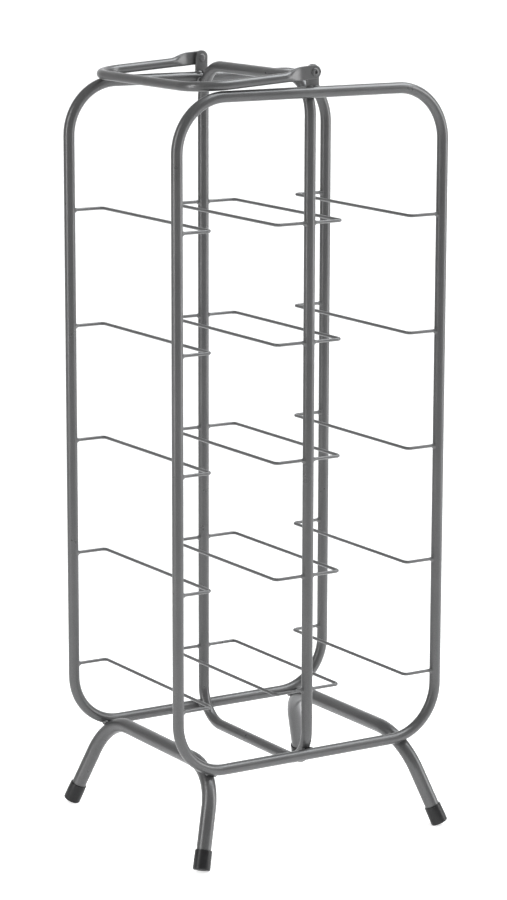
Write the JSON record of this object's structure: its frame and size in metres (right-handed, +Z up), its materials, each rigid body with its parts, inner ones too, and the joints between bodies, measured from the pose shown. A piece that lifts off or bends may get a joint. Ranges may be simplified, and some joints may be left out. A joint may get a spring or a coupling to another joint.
{
  "type": "wine bottle rack",
  "caption": "Free-standing tubular metal wine rack: bottles lie across wire shelves in stacked bays, on splayed capped legs, with a fold-flat carrying handle.",
  "frame": {"origin": "on the floor, under the middle of the rack", "axes": "+X across the two columns of bays to the right seen from the front, +Y along a lying bottle to the back, +Z up"},
  "size_m": [0.2694, 0.2396, 0.6649],
  "materials": {
    "lacquer": "satin",
    "rubber": "matte"
  },
  "bodies": {
    "rack": {"front_frame": "lacquer", "back_frame": "lacquer", "centre_frame": "lacquer", "left_leg": "lacquer", "right_leg": "lacquer", "left_wire_1": "lacquer", "left_wire_2": "lacquer", "left_wire_3": "lacquer", "left_wire_4": "lacquer", "left_wire_5": "lacquer", "inner_left_wire_1": "lacquer", "inner_left_wire_2": "lacquer", "inner_left_wire_3": "lacquer", "inner_left_wire_4": "lacquer", "inner_left_wire_5": "lacquer", "inner_right_wire_1": "lacquer", "inner_right_wire_2": "lacquer", "inner_right_wire_3": "lacquer", "inner_right_wire_4": "lacquer", "inner_right_wire_5": "lacquer", "right_wire_1": "lacquer", "right_wire_2": "lacquer", "right_wire_3": "lacquer", "right_wire_4": "lacquer", "right_wire_5": "lacquer", "front_bracket": "lacquer", "back_bracket": "lacquer", "front_rivet": "lacquer", "back_rivet": "lacquer", "foot_cap_front_left": "rubber", "foot_cap_front_right": "rubber", "foot_cap_back_left": "rubber", "foot_cap_back_right": "rubber", "frame_welds": "lacquer", "leg_welds": "lacquer", "wire_welds": "lacquer", "bracket_welds": "lacquer"},
    "handle": {"handle": "lacquer"}
  },
  "joints": [
    {"name": "handle_pivot", "type": "hinge", "parent": "rack", "child": "handle", "pos_m": [0, 0, 0.6585], "axis": [0, 1, 0], "range_deg": [0, 189.6]}
  ]
}
